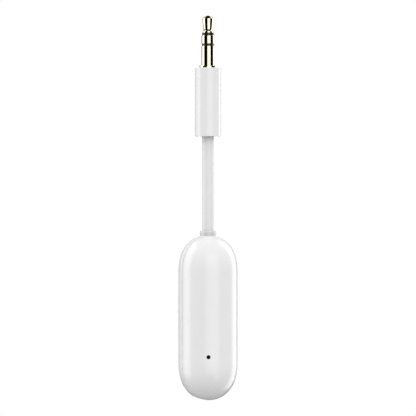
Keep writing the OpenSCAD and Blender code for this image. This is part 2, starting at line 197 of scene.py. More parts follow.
class Graph:
    """Short calls for building one material's or the world's nodes."""

    def __init__(self, tree):
        self.tree = tree
        tree.nodes.clear()

    def node(self, kind, **settings):
        made = self.tree.nodes.new("ShaderNode" + kind)
        for name, value in settings.items():
            setattr(made, name, value)
        return made

    def feed(self, socket, value):
        if isinstance(value, bpy.types.NodeSocket):
            self.tree.links.new(value, socket)
        else:
            socket.default_value = value

    def calc(self, operation, *values):
        made = self.node("Math", operation=operation)
        for socket, value in zip(made.inputs, values):
            self.feed(socket, value)
        return made.outputs[0]

    def dot(self, vector, constant):
        made = self.node("VectorMath", operation="DOT_PRODUCT")
        self.feed(made.inputs[0], vector)
        self.feed(made.inputs[1], constant)
        return made.outputs["Value"]

    def span(self, value, low, high, to_low=0.0, to_high=1.0, smooth=False):
        made = self.node("MapRange")
        if smooth:
            made.interpolation_type = "SMOOTHSTEP"
        for socket, v in zip(made.inputs, (value, low, high, to_low, to_high)):
            self.feed(socket, v)
        return made.outputs[0]

    def ramp(self, value, stops):
        made = self.node("ValToRGB")
        elements = made.color_ramp.elements
        while len(elements) > 1:
            elements.remove(elements[0])
        elements[0].position = stops[0][0]
        elements[0].color = grey(stops[0][1])
        for place, shade in stops[1:]:
            elements.new(place).color = grey(shade)
        self.feed(made.inputs[0], value)
        return made.outputs["Color"]

    def noise(self, vector, scale, detail=2.0):
        made = self.node("TexNoise")
        self.feed(made.inputs["Vector"], vector)
        made.inputs["Scale"].default_value = scale
        made.inputs["Detail"].default_value = detail
        return made.outputs[0]

    def mix(self, share, a, b):
        made = self.node("Mix", data_type="RGBA")
        self.feed(made.inputs[0], share)
        self.feed(made.inputs[6], a)
        self.feed(made.inputs[7], b)
        return made.outputs[2]


def grey(shade):
    return (shade, shade, shade, 1)


# ---- Light ----

# Brightness of the studio round the object, by the angle from the camera's side, in degrees:
# white panels to the left, in front and to the right, with black gaps between them.
PANEL_TOP = 2.7
LEVEL_PANELS = [
    (-180, 2.4), (-173, 1.2), (-167, 0.15), (-150, 0.1), (-137, 0.6), (-122, 0.5), (-111, 0.75),
    (-105, 1.6), (-99, 2.5), (-85, 2.7), (-76, 2.2), (-74, 1.8), (-71, 0.0), (-12, 0.0), (-8, 1.3),
    (10, 1.75), (32, 1.75), (42, 1.5), (46, 0.0), (94, 0.0), (103, 0.3), (107, 1.2), (111, 2.3),
    (120, 2.7), (139, 2.7), (146, 0.15), (162, 0.15), (172, 1.1), (180, 2.4),
]
HIGH_PANELS = [
    (-180, 0.0), (-150, 0.1), (-135, 0.7), (-120, 1.6), (-95, 2.3), (-80, 2.0), (-68, 0.3),
    (-50, 0.03), (88, 0.03), (98, 1.0), (112, 2.2), (136, 1.8), (150, 0.1), (180, 0.0),
]
# How steeply upwards the high panels take over, and where they end at the black ceiling.
HIGH_RISE = (0.52, 0.68)
CEILING_RISE = (0.76, 0.88)
# The panels stand on a black floor: its edge by steepness, in front of and behind the object,
# and how much lower the panels reach on the right.
FLOOR_BLACK = (-0.48, -0.24)
FLOOR_END = (-0.26, -0.03)
BEHIND = (-0.3, -0.7)
RIGHT = (0.35, 0.6)
RIGHT_LOWER = -0.35
# Soft light without reflections: its level, how much it gains upwards and to the sides, and the
# shade straight below.
SOFT_LEVEL = 0.94
SOFT_GAIN = 0.46
SOFT_SIDES = 0.24
SOFT_SHADE = (-0.75, -0.97, 0, 0.4)


def make_light():
    """Reflections see the panels, matt surfaces an even gradient, and the camera plain white."""
    world = bpy.data.worlds.new("studio")
    bpy.context.scene.world = world
    world.use_nodes = True
    world.cycles.sampling_method = "NONE"
    g = Graph(world.node_tree)
    direction = g.node("TexCoord").outputs["Generated"]
    up = g.dot(direction, (0, 0, 1))
    front = g.dot(direction, TOWARDS_CAMERA)
    side = g.dot(direction, TO_ITS_RIGHT)
    turn = g.calc("MULTIPLY_ADD", g.calc("ARCTAN2", side, front), 0.5 / math.pi, 0.5)

    def panels(stops):
        shades = [(angle / 360 + 0.5, value / PANEL_TOP) for angle, value in stops]
        return g.calc("MULTIPLY", g.ramp(turn, shades), PANEL_TOP)

    level = panels(LEVEL_PANELS)
    high = panels(HIGH_PANELS)
    rise = g.span(up, *HIGH_RISE, smooth=True)
    walls = g.calc("MULTIPLY_ADD", g.calc("SUBTRACT", high, level), rise, level)
    below_ceiling = g.span(up, *CEILING_RISE, 1, 0, smooth=True)
    behind = g.span(front, *BEHIND)
    lower = g.calc("MULTIPLY", g.span(side, *RIGHT), RIGHT_LOWER)
    black = g.calc("ADD", g.span(behind, 0, 1, *FLOOR_BLACK), lower)
    lit = g.calc("ADD", g.span(behind, 0, 1, *FLOOR_END), lower)
    above_floor = g.span(up, black, lit, smooth=True)
    mirrored = g.calc("MULTIPLY", g.calc("MULTIPLY", walls, below_ceiling), above_floor)
    slope = g.calc("MULTIPLY_ADD", up, SOFT_GAIN, SOFT_LEVEL)
    sides = g.calc("MULTIPLY_ADD", g.calc("MULTIPLY", side, side), SOFT_SIDES, slope)
    soft = g.calc("SUBTRACT", sides, g.span(up, *SOFT_SHADE, smooth=True))

    path = g.node("LightPath")
    emitters = []
    for value in (soft, mirrored):
        background = g.node("Background")
        g.feed(background.inputs["Color"], value)
        emitters.append(background.outputs[0])
    white = g.node("Background")
    white.inputs["Color"].default_value = grey(1.0)
    shiny = g.node("MixShader")
    g.feed(shiny.inputs[0], path.outputs["Is Glossy Ray"])
    g.feed(shiny.inputs[1], emitters[0])
    g.feed(shiny.inputs[2], emitters[1])
    seen = g.node("MixShader")
    g.feed(seen.inputs[0], path.outputs["Is Camera Ray"])
    g.feed(seen.inputs[1], shiny.outputs[0])
    g.feed(seen.inputs[2], white.outputs[0])
    g.feed(g.node("OutputWorld").inputs["Surface"], seen.outputs[0])
    bpy.context.scene.view_settings.view_transform = "Standard"
    bpy.context.scene.cycles.diffuse_bounces = 0


# ---- Materials ----


def finish_material(g, base, rough, bump=None, strength=0.2, depth=2e-6, **fixed):
    shader = g.node("BsdfPrincipled")
    g.feed(shader.inputs["Base Color"], base)
    g.feed(shader.inputs["Roughness"], rough)
    for name, value in fixed.items():
        shader.inputs[name.replace("_", " ")].default_value = value
    if bump is not None:
        relief = g.node("Bump")
        relief.inputs["Strength"].default_value = strength
        relief.inputs["Distance"].default_value = depth
        g.feed(relief.inputs["Height"], bump)
        g.feed(shader.inputs["Normal"], relief.outputs[0])
    g.feed(g.node("OutputMaterial").inputs["Surface"], shader.outputs[0])


def new_graph(name):
    material = bpy.data.materials.new(name + "_finish")
    material.use_nodes = True
    g = Graph(material.node_tree)
    return material, g, g.node("TexCoord").outputs["Object"]


def grained(name, dark, light, rough, patch=600, grain=9000, strength=0.2, depth=2e-6, **fixed):
    """A finish whose colour and gloss drift in soft patches over a fine grain."""
    material, g, place = new_graph(name)
    drift = g.noise(place, patch, 3)
    base = g.mix(g.span(drift, 0.3, 0.7), (*dark, 1), (*light, 1))
    gloss = g.span(g.noise(place, patch * 2.3, 2), 0.3, 0.7, *rough)
    finish_material(g, base, gloss, g.noise(place, grain, 3), strength, depth, **fixed)
    return material


def gold(name):
    """Thin pale gold on turned brass, with faint rings left by the lathe."""
    material, g, place = new_graph(name)
    split = g.node("SeparateXYZ")
    g.feed(split.inputs[0], place)
    join = g.node("CombineXYZ")
    g.feed(join.inputs[2], split.outputs[2])
    rings = g.noise(join.outputs[0], 16000, 2)
    wear = g.span(g.noise(place, 900, 3), 0.35, 0.7)
    base = g.mix(wear, (0.86, 0.82, 0.56, 1), (0.82, 0.77, 0.5, 1))
    gloss = g.calc("MULTIPLY_ADD", rings, 0.025, 0.015)
    finish_material(g, base, gloss, rings, 0.05, 4e-7, Metallic=1.0)
    return material


def soft_white(name):
    """Cable jacket with a dry, fine grain; the moulded gland at its foot is smoother, and painted a
    darker grey as shade where the cable meets the body.
    """
    material, g, place = new_graph(name)
    split = g.node("SeparateXYZ")
    g.feed(split.inputs[0], place)
    gland_gloss_and_shade = g.span(split.outputs[2], (GLAND_TOP + 0.2) * MM, (GLAND_TOP - 0.25) * MM)
    drift = g.span(g.noise(place, 500, 3), 0.3, 0.7)
    jacket = g.mix(drift, grey(0.745), grey(0.768))
    # Painted shade: the gland's darker grey stands in for shade where the cable meets the body; only
    # its smoother gloss is its own.
    shaded_gland = g.mix(drift, grey(0.66), grey(0.69))
    gloss = g.calc("MULTIPLY_ADD", drift, 0.1, g.span(gland_gloss_and_shade, 0, 1, 0.32, 0.18))
    grain = g.noise(place, 14000, 3)
    finish_material(g, g.mix(gland_gloss_and_shade, jacket, shaded_gland), gloss, grain, 0.35, 4e-6, IOR=1.45)
    return material


def circuit(name):
    """Green solder resist over etched tracks."""
    material, g, place = new_graph(name)
    bricks = g.node("TexBrick")
    g.feed(bricks.inputs["Vector"], place)
    bricks.inputs["Scale"].default_value = 900
    bricks.inputs["Color1"].default_value = (0.015, 0.13, 0.05, 1)
    bricks.inputs["Color2"].default_value = (0.02, 0.17, 0.07, 1)
    bricks.inputs["Mortar"].default_value = (0.05, 0.26, 0.1, 1)
    bricks.inputs["Mortar Size"].default_value = 0.04
    gloss = g.span(g.noise(place, 2000, 2), 0.3, 0.7, 0.25, 0.4)
    finish_material(g, bricks.outputs["Color"], gloss, bricks.outputs["Fac"], 0.3, 1e-5)
    return material


def woven(name):
    """Fine dark acoustic mesh."""
    material, g, place = new_graph(name)
    lines = []
    for axis in ("X", "Z"):
        wave = g.node("TexWave", bands_direction=axis)
        g.feed(wave.inputs["Vector"], place)
        wave.inputs["Scale"].default_value = 1500
        lines.append(wave.outputs["Fac"])
    weave = g.calc("MULTIPLY", *lines)
    base = g.mix(weave, grey(0.01), grey(0.07))
    finish_material(g, base, g.span(weave, 0, 1, 0.6, 0.45), weave, 0.5, 1e-5)
    return material


def make_materials():
    def near(colour, spread):
        return [c * (1 - spread) for c in colour], [min(c * (1 + spread), 1) for c in colour]

    made = {
        "gold_contact": gold("gold_contact"),
        "green_board": circuit("green_board"),
        "dark_mesh": woven("dark_mesh"),
        "white_plastic": grained("white_plastic", (0.792, 0.792, 0.792), (0.808, 0.808, 0.808),
                                 (0.18, 0.23), 260, 5200, 0.12, 1e-6, IOR=1.5),
        "white_cable": soft_white("white_cable"),
        "white_sleeve": grained("white_sleeve", (0.77, 0.77, 0.77), (0.8, 0.8, 0.79),
                                (0.35, 0.5), 500, 9000, 0.2, 2e-6),
        "black_insulator": grained("black_insulator", (0.006, 0.006, 0.006), (0.014, 0.014, 0.014),
                                   (0.08, 0.2), 900, 9000, 0.15, 1e-6, IOR=1.5),
        "black_rubber": grained("black_rubber", (0.003, 0.003, 0.003), (0.007, 0.007, 0.007),
                                (0.6, 0.75), 900, 12000, 0.3, 4e-6, IOR=1.35),
        "clear_plastic": grained("clear_plastic", (0.86, 0.88, 0.9), (0.93, 0.94, 0.95),
                                 (0.08, 0.16), 700, 9000, 0.1, 1e-6, IOR=1.49,
                                 Transmission_Weight=0.35),
    }
    shaped = {
        "green_wire": (0.35, 0.5, 0.0), "red_wire": (0.35, 0.5, 0.0),
        "black_wire": (0.35, 0.5, 0.0), "copper_wire": (0.25, 0.4, 0.8),
        "chip_resin": (0.45, 0.6, 0.0), "bright_metal": (0.22, 0.36, 1.0),
        "ferrite": (0.5, 0.65, 0.0), "white_ceramic": (0.4, 0.55, 0.0),
        "tantalum_yellow": (0.4, 0.55, 0.0), "tan_ceramic": (0.4, 0.55, 0.0),
        "pouch_foil": (0.3, 0.45, 0.9), "white_tape": (0.6, 0.75, 0.0),
        "grey_foam": (0.8, 0.95, 0.0), "grey_plastic": (0.4, 0.5, 0.0),
    }
    colours = {m["slot"]: m["base_color"][:3] for m in frame["record"]["materials"]}
    for slot, (smooth, rough, metal) in shaped.items():
        made[slot] = grained(slot, *near(colours[slot], 0.06), (smooth, rough),
                             Metallic=metal)
    return made


# ---- Mesh helpers ----


def drop_into_mesh(bm, name):
    """Turns a bmesh into a mesh and frees it."""
    mesh = bpy.data.meshes.new(name)
    bm.to_mesh(mesh)
    bm.free()
    return mesh


def link_object(name, data):
    made = bpy.data.objects.new(name, data)
    bpy.context.scene.collection.objects.link(made)
    return made


def make_piece(name, bm, slot, replaced, body="receiver"):
    """A named piece that rides on a body and stands in for one node of the CAD model."""
    mesh = drop_into_mesh(bm, name)
    mesh.materials.append(materials[slot])
    piece = link_object(name, mesh)
    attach(piece, body)
    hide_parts(replaced)
    return piece


def fillet(corners, steps=5):
    """Points of an outline, with each (x, y, radius) corner turned into an arc."""
    points = []
    for i, corner in enumerate(corners):
        here = Vector(corner[:2])
        radius = corner[2] if len(corner) > 2 else 0
        before = Vector(corners[i - 1][:2]) - here
        after = Vector(corners[(i + 1) % len(corners)][:2]) - here
        if radius <= 0:
            points.append(tuple(here))
            continue
        before.normalize()
        after.normalize()
        half = before.angle(after) / 2
        centre = here + (before + after).normalized() * (radius / math.sin(half))
        start = here + before * (radius / math.tan(half)) - centre
        end = here + after * (radius / math.tan(half)) - centre
        turn = math.atan2(start.x * end.y - start.y * end.x, start.dot(end))
        for k in range(steps + 1):
            a = turn * k / steps
            c, s = math.cos(a), math.sin(a)
            points.append((centre.x + c * start.x - s * start.y,
                           centre.y + s * start.x + c * start.y))
    return points


def lathe(points, segments=96, closed=True):
    """Turns a section of (radius, height) points, in millimetres, round the Z axis."""
    bm = bmesh.new()
    rings = []
    for r, z in points:
        if r < 1e-6:
            rings.append([bm.verts.new((0, 0, z * MM))])
            continue
        rings.append([
            bm.verts.new((r * MM * math.cos(a), r * MM * math.sin(a), z * MM))
            for a in (2 * math.pi * k / segments for k in range(segments))
        ])
    pairs = list(zip(rings, rings[1:] + rings[:1])) if closed else list(zip(rings, rings[1:]))
    for low, high in pairs:
        if len(low) == 1 and len(high) == 1:
            continue
        for k in range(segments):
            n = (k + 1) % segments
            corners = [low[k % len(low)], low[n % len(low)], high[n % len(high)], high[k % len(high)]]
            unique = [v for i, v in enumerate(corners) if v not in corners[:i]]
            if len(unique) > 2:
                bm.faces.new(unique)
    bmesh.ops.recalc_face_normals(bm, faces=bm.faces)
    shade_smooth(bm.faces)
    return bm


def crisp(piece):
    """Smooth shading that keeps flats flat beside their rounded edges."""
    piece.data.set_sharp_from_angle(angle=math.radians(SHARP_ANGLE))
    modifier = piece.modifiers.new("even_normals", "WEIGHTED_NORMAL")
    modifier.keep_sharp = True
    modifier.weight = 80


def shade_smooth(faces):
    for face in faces:
        face.smooth = True


# ---- Plug ----


def make_plug():
    tip = fillet([
        (0, TIP_Z), (*TIP_FLAT, 0.3), (*TIP_SHOULDER, 0.35), (*TIP_WIDEST, 0.1),
        (*TIP_LOWEST, 0.03), (*NECK, 0.02), (*NECK_FLARE, 0.02), (*NECK_FOOT, 0.03),
        (DISC_R, DISC_Z, 0.03), (PIN_R, DISC_Z), (PIN_R, PIN_LUG_Z[1]),
        (PIN_LUG_R, PIN_LUG_Z[1], 0.05), (PIN_LUG_R, PIN_LUG_Z[0], 0.05), (0, PIN_LUG_Z[0]),
    ], 6)
    tip_washer = fillet([
        (PIN_R + PLAY, DISC_Z), (PIN_R + PLAY, TIP_TUBE_END), (TIP_TUBE_R, TIP_TUBE_END),
        (TIP_TUBE_R, RING_Z[1]), (TIP_WASHER_R, RING_Z[1], 0.02), (TIP_WASHER_R, DISC_Z, 0.02),
    ])
    ring = fillet([
        (CONTACT_R, RING_Z[0], 0.05), (CONTACT_R, RING_Z[1], 0.1), (TIP_TUBE_R + PLAY, RING_Z[1]),
        (TIP_TUBE_R + PLAY, RING_LUG_Z[0]), (RING_LUG_R, RING_LUG_Z[0], 0.05),
        (RING_LUG_R, RING_LUG_Z[1], 0.05), (RING_TUBE_R, RING_LUG_Z[1]), (RING_TUBE_R, RING_Z[0]),
    ])
    washer_tube_r, washer_r = RING_WASHER_R
    ring_washer = fillet([
        (RING_TUBE_R + PLAY, RING_Z[0]), (RING_TUBE_R + PLAY, RING_WASHER_END),
        (washer_tube_r, RING_WASHER_END), (washer_tube_r, SLEEVE_TOP),
        (washer_r, SLEEVE_TOP, 0.02), (washer_r, RING_Z[0], 0.02),
    ])
    sleeve = fillet([
        (CONTACT_R, 0, 0.02), (CONTACT_R, SLEEVE_TOP, 0.05), (SLEEVE_BORE, SLEEVE_TOP),
        (SLEEVE_BORE, BUSHING_END), (BUSHING_R, BUSHING_END, 0.05), (BUSHING_R, -COLLAR_H),
        (COLLAR_R, -COLLAR_H, 0.02), (COLLAR_R, 0, 0.06),
    ])
    crisp(make_piece("tip_contact", lathe(tip, closed=False), "gold_contact", "jack_tip"))
    crisp(make_piece("ring_contact", lathe(ring), "gold_contact", "jack_ring"))
    crisp(make_piece("tip_washer", lathe(tip_washer), "black_insulator", "tip_insulator"))
    crisp(make_piece("ring_washer", lathe(ring_washer), "black_insulator", "ring_insulator"))
    bm = lathe(sleeve)
    add_box(bm, (-TAIL_HALF_WIDTH, TAIL_R[0], TAIL_Z[0]), (TAIL_HALF_WIDTH, TAIL_R[1], TAIL_Z[1]))
    add_ring(bm, *TAIL_R, CRIMP_END, TAIL_Z[0])
    crisp(make_piece("sleeve_contact", bm, "gold_contact", "jack_sleeve"))
    bore = GRIP_R - GRIP_WALL
    floor = GRIP_Z[0] + GRIP_FLOOR
    grip = fillet([
        (GRIP_R, GRIP_Z[0], 0.1), (GRIP_R, GRIP_Z[1], 0.12), (bore, GRIP_Z[1]), (bore, floor),
        (CABLE_R + PLAY, floor), (CABLE_R + PLAY, GRIP_Z[0], 0.12),
    ], 6)
    crisp(make_piece("grip", lathe(grip, 160), "white_plastic", "plug_grip"))


def add_box(bm, low, high):
    made = bmesh.ops.create_cube(bm, size=1)["verts"]
    for vertex in made:
        vertex.co = [(a + (b - a) * (c + 0.5)) * MM for a, b, c in zip(low, high, vertex.co)]
    shade_smooth({f for v in made for f in v.link_faces})


def add_ring(bm, inner, outer, low, high, segments=64):
    section = [(outer, low), (outer, high), (inner, high), (inner, low)]
    mesh = drop_into_mesh(lathe(section, segments), "ring")
    bm.from_mesh(mesh)
    bpy.data.meshes.remove(mesh)


def make_gland():
    bore = CABLE_R - GLAND_SQUEEZE
    top = GLAND_TOP + GLAND_LIFT
    seat = GLAND_SEAT - GLAND_OVERLAP
    low, high = GLAND_FLANGE_Z
    section = fillet([
        (GLAND_R, seat), (GLAND_R, top, 0.3), (bore, top, 0.1), (bore, low),
        (GLAND_FLANGE_R, low, 0.1), (GLAND_FLANGE_R, high, 0.1), (GLAND_NECK_R, high),
        (GLAND_NECK_R, seat),
    ])
    crisp(make_piece("gland", lathe(section, 128), "white_cable", "cable_gland"))


# ---- Capsule ----

# Radius of the rim beside the seam, and how far from the seam its columns of points stand.
RIM = 0.22
SEAM_STEPS = [0, 0.006, 0.02, 0.045, 0.08, 0.12, 0.17, 0.22, 0.27, 0.36, 0.5]
# Closer than this to the seam's ends, the columns draw together.
SEAM_ROOM = 1.2
# On rows that are whole rings, the same columns share an angle: pi over this, for each millimetre.
RING_SHARE = 8
COVER_COLUMNS = 44
REAR_COLUMNS = 64


def outline_radius(z):
    """Radius of the capsule at a height."""
    past = max(z - (BODY_TOP - END_LEN), (BODY_BOTTOM + END_LEN) - z, 0)
    return BODY_R * math.sqrt(max(1 - (past / END_LEN) ** END_POWER, 0))


def outline_normal(p):
    """Outward direction of the capsule's surface nearest a point."""
    up = p[2] - (BODY_TOP - END_LEN)
    down = (BODY_BOTTOM + END_LEN) - p[2]
    past = min(max(up, down, 0), END_LEN)
    steep = END_POWER * (past / END_LEN) ** (END_POWER - 1) / END_LEN
    lean = steep if up > 0 else -steep if down > 0 else 0
    return Vector((2 * p[0] / BODY_R**2, 2 * p[1] / BODY_R**2, lean)).normalized()


def row_heights(first_radius):
    """Heights of the rows from the lower end to the upper, denser where the form turns."""
    steps = 56
    start = math.acos(min(first_radius / BODY_R, 1))
    end = [END_LEN * math.sin(start * k / steps) ** (2 / END_POWER) for k in range(steps + 1)]
    low = [BODY_BOTTOM + END_LEN - h for h in reversed(end)]
    high = [BODY_TOP - END_LEN + h for h in end]
    return low + high


def shell_form(front):
    """One closed half of the capsule, flat on its joint, with a small radius along the rim."""
    seam = SEAM_FRONT if front else SEAM_REAR
    away = -1 if front else 1
    cut = abs(seam)
    plain = COVER_COLUMNS if front else REAR_COLUMNS
    bm = bmesh.new()
    rows = []
    if front:
        heights = row_heights(cut)
    else:
        heights = row_heights(0.0)
        marks = row_heights(cut)
        heights = sorted(heights + [marks[0], marks[-1]])
    for z in heights:
        w = outline_radius(z)
        if not front and z in (marks[0], marks[-1]):
            w = cut
        full = not front and w <= cut
        room = w - cut if front else w + cut
        squeeze = min(1, max(room, 0) / SEAM_ROOM)
        near = []
        for d in SEAM_STEPS:
            depth = d * squeeze
            if full:
                near.append(math.pi * (1 - d / RING_SHARE))
            else:
                level = (depth + (cut if front else -cut)) / max(w, 1e-9)
                near.append(math.acos(max(min(level, 1), -1)))
        inner = near[-1]
        angles = near + [inner * (1 - k / plain) for k in range(1, plain + 1)]
        side = [(w * math.sin(a), away * w * math.cos(a)) for a in angles]
        whole = [(-x, y) for x, y in side] + [(x, y) for x, y in reversed(side[:-1])]
        row = []
        for x, y in whole:
            p = Vector((x, y, z))
            depth = (y - seam) * away
            if depth < RIM:
                drop = RIM - math.sqrt(max(RIM**2 - (RIM - max(depth, 0)) ** 2, 0))
                p -= outline_normal(p) * drop
                if not full:
                    p.y = y
            row.append(bm.verts.new(p * MM))
        rows.append(row)
    for low, high in zip(rows, rows[1:]):
        for k in range(len(low) - 1):
            bm.faces.new((low[k], low[k + 1], high[k + 1], high[k]))
    bmesh.ops.remove_doubles(bm, verts=bm.verts, dist=2e-7)
    bmesh.ops.dissolve_degenerate(bm, edges=bm.edges, dist=1e-8)
    rim = [e for e in bm.edges if e.is_boundary]
    bmesh.ops.contextual_create(bm, geom=rim)
    bmesh.ops.recalc_face_normals(bm, faces=bm.faces)
    shade_smooth(bm.faces)
    return bm


def cavity_form():
    points = []
    steps = 24
    r = BODY_R - WALL
    length = END_LEN - WALL + 0.5
    for k in range(steps + 1):
        t = math.pi / 2 * k / steps
        points.append((r * math.cos(t) if k < steps else 0, length * math.sin(t) ** (2 / END_POWER)))
    high = [(x, BODY_TOP - END_WALL - length + h) for x, h in reversed(points)]
    low = [(x, BODY_BOTTOM + END_WALL + length - h) for x, h in points]
    return lathe(high + low, 72, closed=False)


def outline_cutter(outline, surface, depth, lip, axis):
    """A cutter with the given closed outline whose mouth opens in a small round lip.

    surface(u, v) is the shell's height along the axis; outline points are (u, v, nu, nv)."""
    bm = bmesh.new()
    steps = 5
    heights = [surface(u, v) for u, v, nu, nv in outline]
    count = len(outline)
    floor = [min(heights) - depth] * count
    ceiling = [max(heights) + OPENING_RISE] * count
    levels = [(floor, 0.0), ([h - lip for h in heights], 0.0)]
    for k in range(1, steps + 1):
        a = math.pi / 2 * k / steps
        levels.append(([h - lip + lip * math.sin(a) for h in heights], lip * (1 - math.cos(a))))
    levels += [([h + lip / 2 for h in heights], lip), (ceiling, lip)]
    rings = []
    for level, spread in levels:
        rings.append([
            bm.verts.new(Vector(axis(u + nu * spread, v + nv * spread, h)) * MM)
            for (u, v, nu, nv), h in zip(outline, level)
        ])
    for low, high in zip(rings, rings[1:]):
        for k in range(count):
            n = (k + 1) % count
            bm.faces.new((low[k], low[n], high[n], high[k]))
    bm.faces.new(rings[0])
    bm.faces.new(rings[-1])
    bmesh.ops.recalc_face_normals(bm, faces=bm.faces)
    return bm


def ring_outline(cu, cv, r, count=48):
    turns = [2 * math.pi * k / count for k in range(count)]
    return [(cu + r * math.cos(a), cv + r * math.sin(a), math.cos(a), math.sin(a)) for a in turns]


def stadium_outline(cu, cv, width, length, count=20):
    """Stadium with its length along v."""
    r = width / 2
    half = length / 2 - r
    points = []
    for end in (1, -1):
        for k in range(count + 1):
            a = math.pi * k / count
            c, s = math.cos(a) * end, math.sin(a) * end
            points.append((cu + r * c, cv + half * end + r * s, c, s))
    return points


def polygon_outline(corners, steps=6):
    """Rounded polygon of (x, y, radius) corners, counter-clockwise, with outward normals."""
    flat = fillet(corners, steps)
    out = []
    for i, (x, y) in enumerate(flat):
        ax, ay = flat[i - 1]
        bx, by = flat[(i + 1) % len(flat)]
        along = Vector((bx - ax, by - ay)).normalized()
        out.append((x, y, along.y, -along.x))
    return out


def usb_corners(grow, radius):
    w = USB_SIZE[0] / 2 + grow
    h = USB_SIZE[1] / 2 + grow
    cx, cy = USB_CORNER
    return [
        (w, -h + cy, radius), (w, h, radius), (-w, h, radius), (-w, -h + cy, radius),
        (cx - w, -h, radius), (w - cx, -h, radius),
    ]


def subtract(piece, cutters):
    """Cuts plain bmesh cutters out of a piece, and drops them."""
    helpers = []
    for bm in cutters:
        shade_smooth(bm.faces)
        mesh = drop_into_mesh(bm, "cutter")
        mesh.materials.append(materials["white_sleeve"])
        helper = link_object("cutter", mesh)
        helpers.append(helper)
        modifier = piece.modifiers.new("cut", "BOOLEAN")
        modifier.operation = "DIFFERENCE"
        modifier.solver = "EXACT"
        modifier.material_mode = "TRANSFER"
        modifier.object = helper
    bpy.context.view_layer.update()
    depsgraph = bpy.context.evaluated_depsgraph_get()
    cut = bpy.data.meshes.new_from_object(piece.evaluated_get(depsgraph))
    piece.modifiers.clear()
    old = piece.data
    piece.data = cut
    bpy.data.meshes.remove(old)
    for helper in helpers:
        mesh = helper.data
        bpy.data.objects.remove(helper)
        bpy.data.meshes.remove(mesh)


def true_normals(piece, front):
    """Gives the outer skin the exact normals of the form it was made from."""
    mesh = piece.data
    seam = SEAM_FRONT if front else SEAM_REAR
    away = -1 if front else 1
    mesh.set_sharp_from_angle(angle=math.radians(30))
    normals = [Vector(c.vector) for c in mesh.corner_normals]
    for polygon in mesh.polygons:
        centre = polygon.center / MM
        past = outline_radius(centre.z) - math.hypot(centre.x, centre.y)
        flat = abs(polygon.normal.y) > 0.999 and abs(centre.y - seam) < 0.02
        own = mesh.materials[polygon.material_index].name == "white_plastic_finish"
        if not own or flat or past > 2 * RIM:
            continue
        for loop in polygon.loop_indices:
            p = mesh.vertices[mesh.loops[loop].vertex_index].co / MM
            normal = outline_normal(p)
            depth = (p.y - seam) * away
            if depth < RIM:
                k = (RIM - max(depth, 0)) / RIM
                normal = normal * math.sqrt(1 - k * k) - Vector((0, away * k, 0))
                normal.normalize()
            normals[loop] = normal
    mesh.normals_split_custom_set([tuple(n) for n in normals])
    for polygon in mesh.polygons:
        polygon.material_index = 0
    while len(mesh.materials) > 1:
        mesh.materials.pop()


def front_surface(x, z):
    r = outline_radius(z)
    return math.sqrt(max(r * r - x * x, 0.01))


def end_height(x, y):
    """How far the lower end reaches below the straight part, at a place off the axis."""
    share = max(1 - (x * x + y * y) / BODY_R**2, 0.0)
    return END_LEN * share ** (1 / END_POWER)


def make_shells():
    front = make_piece("cover_shell", shell_form(True), "white_plastic", "front_cover")
    mic = outline_cutter(ring_outline(MIC_X, MIC_Z, MIC_HOLE_R), front_surface, OPENING_DEPTH,
                         MIC_LIP, lambda u, v, d: (u, -d, v))
    subtract(front, [cavity_form(), mic])
    true_normals(front, True)

    rear = make_piece("back_shell", shell_form(False), "white_plastic", "rear_shell")
    low, high = GLAND_CUT_Z
    bore_r = GLAND_NECK_R + GLAND_CUT_GAP
    bore = lathe([(0, low), (bore_r, low), (bore_r, high), (0, high)], 64, closed=False)
    slot = outline_cutter(
        stadium_outline(BUTTON_Y, BUTTON_Z, BUTTON_W + 2 * BUTTON_GAP, BUTTON_LEN + 2 * BUTTON_GAP),
        front_surface, OPENING_DEPTH, BUTTON_LIP, lambda u, v, d: (d, u, v))
    lens = outline_cutter(ring_outline(0, LED_Z, PIPE_R + PIPE_GAP), front_surface, OPENING_DEPTH,
                          PIPE_LIP, lambda u, v, d: (u, d, v))
    socket = outline_cutter(
        polygon_outline(usb_corners(USB_OPENING_GAP, USB_OPENING_CORNER)), end_height,
        USB_OPENING_DEPTH, USB_LIP, lambda u, v, d: (u, v, BODY_BOTTOM + END_LEN - d))
    subtract(rear, [cavity_form(), bore, slot, lens, socket])
    true_normals(rear, False)


# ---- Button, light and socket ----


def make_button():
    """Crowned key that follows the capsule's side, on its flange and stem."""
    bm = bmesh.new()
    top = BODY_R + BUTTON_PROUD
    shoulder = top - BUTTON_EDGE
    turns = [math.pi / 2 * k / 5 for k in range(1, 6)]
    levels = [(0.0, BUTTON_SEAT), (0.0, shoulder)]
    levels += [(BUTTON_EDGE * (1 - math.cos(a)), shoulder + BUTTON_EDGE * math.sin(a)) for a in turns]
    levels += [(inset, top) for inset in (0.4, 0.7, 1.0, 1.3)]
    rings = []
    for inset, radius in levels:
        ring = []
        outline = stadium_outline(BUTTON_Y, BUTTON_Z, BUTTON_W - 2 * inset, BUTTON_LEN - 2 * inset)
        for y, z, ny, nz in outline:
            x = math.sqrt(radius**2 - y**2) if radius > BUTTON_SEAT else radius
            ring.append(bm.verts.new(Vector((x, y, z)) * MM))
        rings.append(ring)
    total = len(rings[0])
    for low, high in zip(rings, rings[1:]):
        for k in range(total):
            n = (k + 1) % total
            bm.faces.new((low[k], low[n], high[n], high[k]))
    bm.faces.new(rings[0])
    inner = rings[-1]
    for k in range(total // 2 - 1):
        bm.faces.new((inner[k], inner[k + 1], inner[total - 2 - k], inner[total - 1 - k]))
    bmesh.ops.recalc_face_normals(bm, faces=bm.faces)
    shade_smooth(bm.faces)
    for corners in (BUTTON_FLANGE, BUTTON_STEM):
        add_box(bm, *[(x, BUTTON_Y + y, BUTTON_Z + z) for x, y, z in corners])
    crisp(make_piece("key", bm, "white_plastic", "side_button", body="button"))


